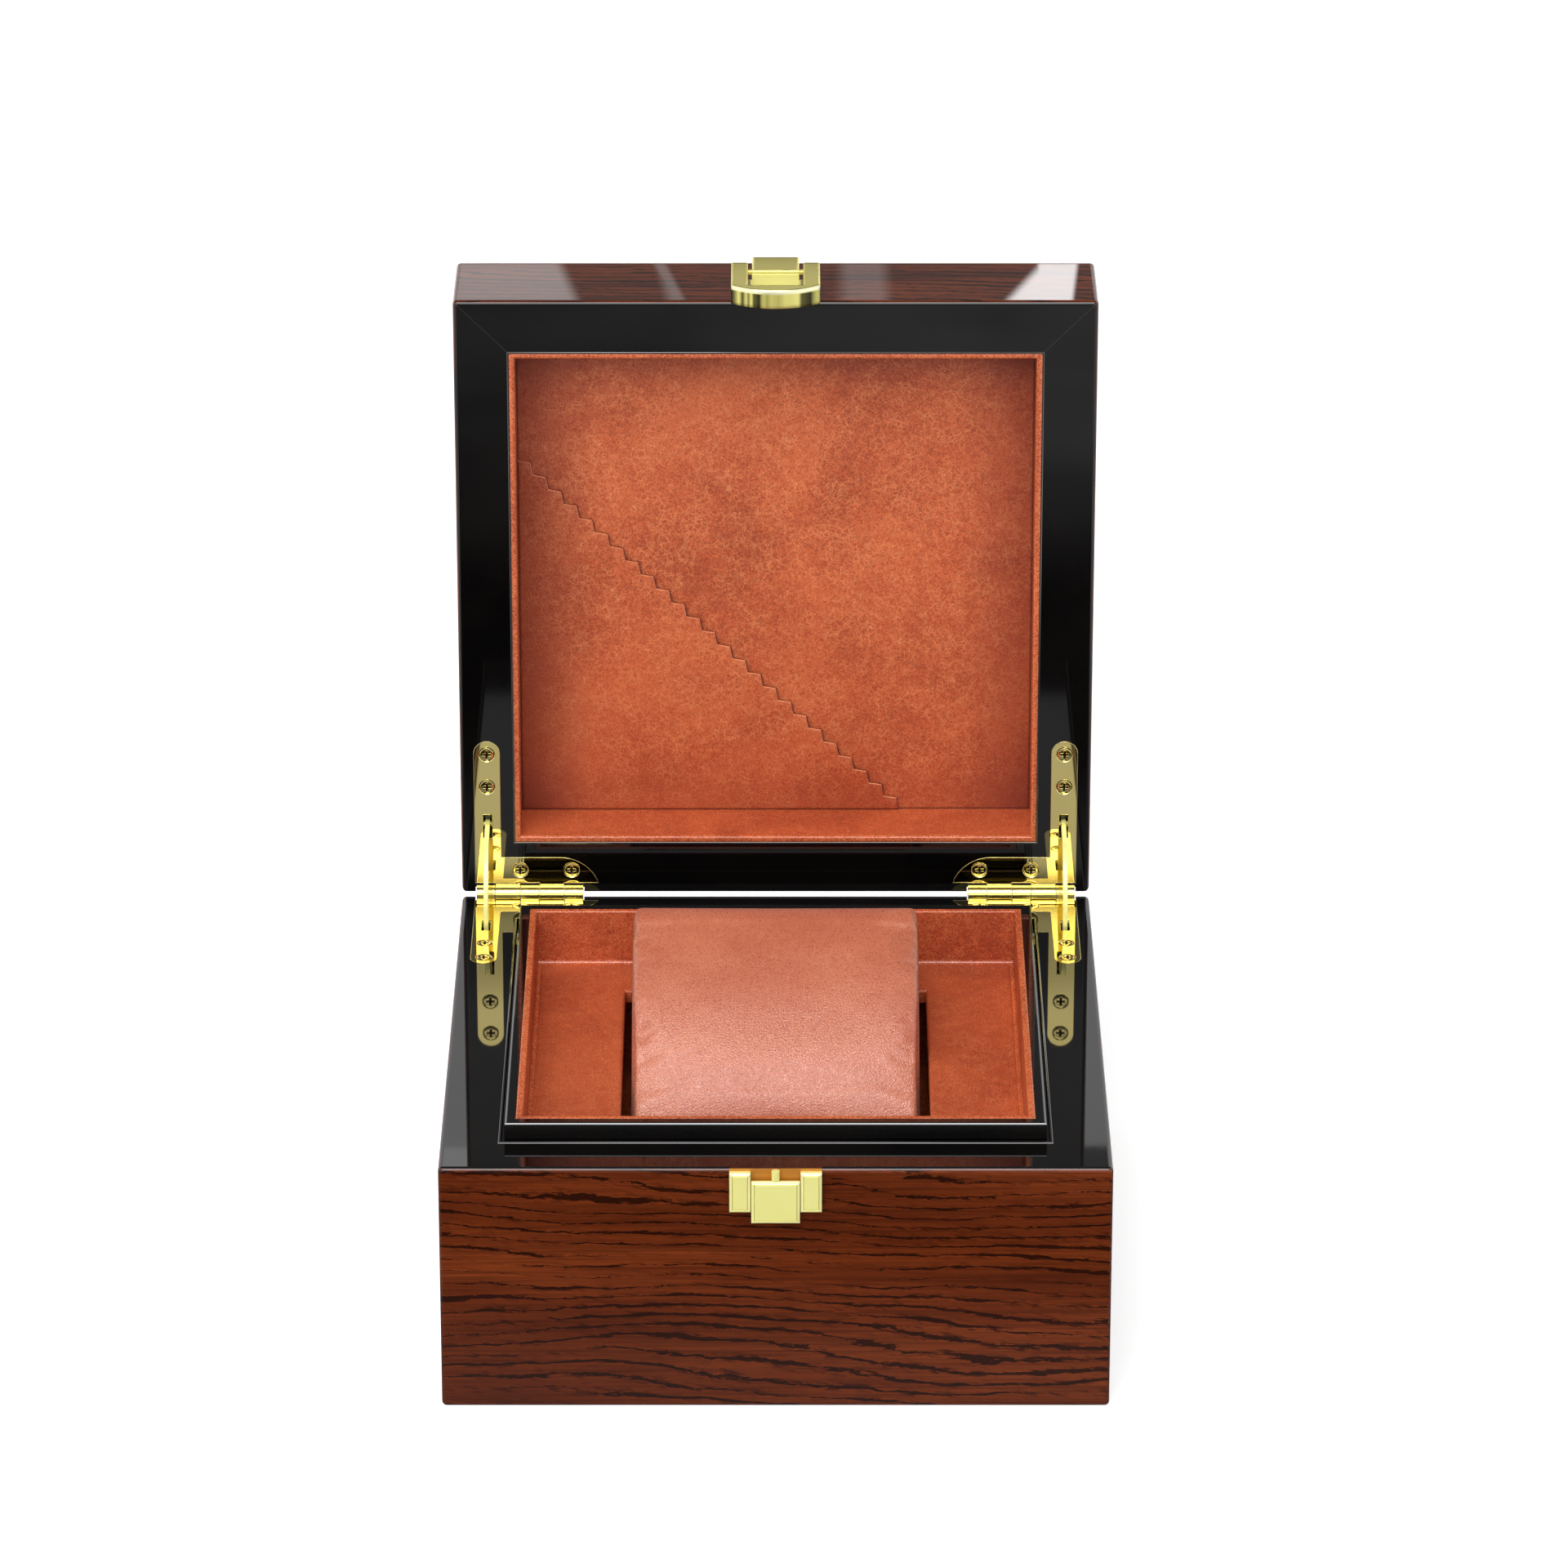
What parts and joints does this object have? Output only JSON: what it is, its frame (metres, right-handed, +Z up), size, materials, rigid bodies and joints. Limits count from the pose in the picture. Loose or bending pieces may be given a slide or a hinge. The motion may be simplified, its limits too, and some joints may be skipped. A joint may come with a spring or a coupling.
{
  "type": "watch box",
  "caption": "Hinged presentation box for a watch: glossy veneered boards, leather-lined lid with a card pocket, tray with tilted cushion, slotted quadrant hinges and a push latch.",
  "frame": {"origin": "centre of the base's underside", "axes": "+X to the box's right seen from the latch, +Y to the hinges at the rear, +Z up; stored with the lid open at a right angle"},
  "size_m": [0.14, 0.1681, 0.2029],
  "materials": {
    "veneer": "streaked red-brown veneer under a mirror-gloss lacquer",
    "dark_lacquer": "near-black lacquer, mirror gloss",
    "lining_leather": "mottled rust-orange leather, fine grain",
    "cushion_leather": "smooth rust-orange leather with a soft sheen",
    "polished_gilt": "polished gold plate",
    "satin_gilt": "satin pale gold plate"
  },
  "bodies": {
    "base": {"base_board_front": "veneer", "base_board_rear": "veneer", "base_board_left": "veneer", "base_board_right": "veneer", "base_floor": "dark_lacquer", "inner_frame_front": "dark_lacquer", "inner_frame_rear": "dark_lacquer", "inner_frame_left": "dark_lacquer", "inner_frame_right": "dark_lacquer", "tray_lining_front": "lining_leather", "tray_lining_rear": "lining_leather", "tray_lining_left": "lining_leather", "tray_lining_right": "lining_leather", "tray_floor": "lining_leather", "tray_ledge_left": "lining_leather", "tray_ledge_right": "lining_leather", "base_hinge_leaf_left": "polished_gilt", "base_hinge_leaf_right": "polished_gilt", "base_hinge_screws_left": "polished_gilt", "base_hinge_screws_right": "polished_gilt", "hinge_pin_left": "polished_gilt", "hinge_pin_right": "polished_gilt", "base_latch_plate": "satin_gilt", "latch_catch_pin": "satin_gilt"},
    "lid": {"lid_board_front": "veneer", "lid_board_rear": "veneer", "lid_board_left": "veneer", "lid_board_right": "veneer", "lid_top": "veneer", "lid_lining_front": "lining_leather", "lid_lining_rear": "lining_leather", "lid_lining_left": "lining_leather", "lid_lining_right": "lining_leather", "lid_lining_panel": "lining_leather", "card_pocket": "lining_leather", "lid_hinge_leaf_left": "polished_gilt", "lid_hinge_leaf_right": "polished_gilt", "lid_hinge_screws_left": "polished_gilt", "lid_hinge_screws_right": "polished_gilt", "lid_latch_plate": "polished_gilt", "hasp_pin": "polished_gilt"},
    "hasp": {"latch_hasp": "polished_gilt"},
    "stay_left": {"stay_arm_left": "polished_gilt"},
    "stay_right": {"stay_arm_right": "polished_gilt"},
    "button": {"latch_button": "satin_gilt"},
    "lift_out_board": {"lift_out_board": "lining_leather"},
    "cushion": {"watch_cushion": "cushion_leather"}
  },
  "joints": [
    {"name": "lid_hinge", "type": "hinge", "parent": "base", "child": "lid", "pos_m": [0, 0.0705, 0.05555], "axis": [-1, 0, 0], "range_deg": [-90, 0]},
    {"name": "stay_left_turn", "type": "hinge", "parent": "base", "child": "stay_left", "pos_m": [0, 0.0705, 0.05555], "axis": [-1, 0, 0], "range_deg": [-45, 0]},
    {"name": "stay_right_turn", "type": "hinge", "parent": "base", "child": "stay_right", "pos_m": [0, 0.0705, 0.05555], "axis": [-1, 0, 0], "range_deg": [-45, 0]},
    {"name": "hasp_swing", "type": "hinge", "parent": "lid", "child": "hasp", "pos_m": [0, 0.07755, 0.2001], "axis": [-1, 0, 0], "range_deg": [0, 110]},
    {"name": "button_press", "type": "slide", "parent": "base", "child": "button", "axis": [0, 1, 0], "range_m": [0, 0.0006], "stiffness_N_per_m": 1500, "springref_m": -0.0005},
    {"name": "board_lift", "type": "slide", "parent": "base", "child": "lift_out_board", "axis": [0, 0, 1], "range_m": [0, 0.03]},
    {"name": "cushion_lift", "type": "slide", "parent": "lift_out_board", "child": "cushion", "axis": [0, 0, 1], "range_m": [0, 0.045]}
  ],
  "couplings": [
    {"joint": "stay_left_turn", "follows": "lid_hinge", "ratio": 0.5},
    {"joint": "stay_right_turn", "follows": "lid_hinge", "ratio": 0.5}
  ]
}
